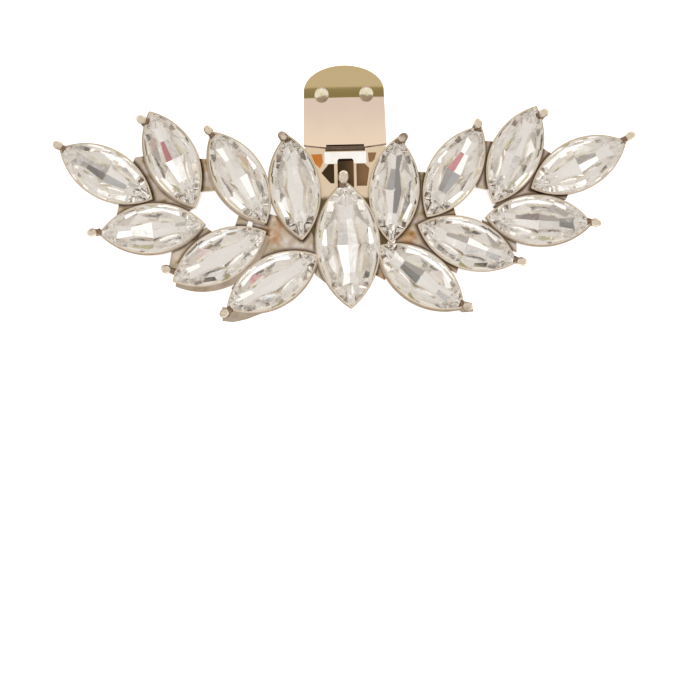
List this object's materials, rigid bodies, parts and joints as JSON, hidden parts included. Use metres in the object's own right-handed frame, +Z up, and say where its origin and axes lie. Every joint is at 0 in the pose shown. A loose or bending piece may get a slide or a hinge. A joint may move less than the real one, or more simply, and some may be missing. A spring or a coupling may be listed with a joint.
{
  "type": "shoe clip",
  "caption": "Shoe clip: a wing-shaped cast setting of foiled navette crystals on a stamped spring clip with a hinged lever, shown open.",
  "frame": {"origin": "middle of the bounding box's base, on the surface that the open clip lies on", "axes": "+X from the left wing to the right wing as seen from the front, +Y from the cluster towards the opened lever, +Z up; the front of the cluster faces up, leaning 8 degrees towards -Y"},
  "size_m": [0.0852, 0.0386, 0.0082],
  "materials": {
    "cast_gold": "polished pale rose-gold plating on a casting, darker in the recesses",
    "plate_gold": "bright gold plating on stamped sheet",
    "lever_gold": "mirror-bright champagne gold plating",
    "pin_gold": "gold plating, satin",
    "spring_steel": "darkened spring steel",
    "crystal": "clear faceted glass, silver foiled behind"
  },
  "bodies": {
    "clip": {"setting": "cast_gold", "clip_base": "plate_gold", "spring_leaf": "spring_steel", "hinge_pin": "pin_gold", "stone_left_1": "crystal", "stone_left_2": "crystal", "stone_left_3": "crystal", "stone_left_4": "crystal", "stone_left_5": "crystal", "stone_left_6": "crystal", "stone_left_7": "crystal", "stone_centre": "crystal", "stone_right_1": "crystal", "stone_right_2": "crystal", "stone_right_3": "crystal", "stone_right_4": "crystal", "stone_right_5": "crystal", "stone_right_6": "crystal", "stone_right_7": "crystal"},
    "lever": {"lever": "lever_gold"}
  },
  "joints": [
    {"name": "lever_hinge", "type": "hinge", "parent": "clip", "child": "lever", "pos_m": [0.00014, 0.00524, 0.0011], "axis": [-1, 0, 0], "range_deg": [0, 172]}
  ]
}
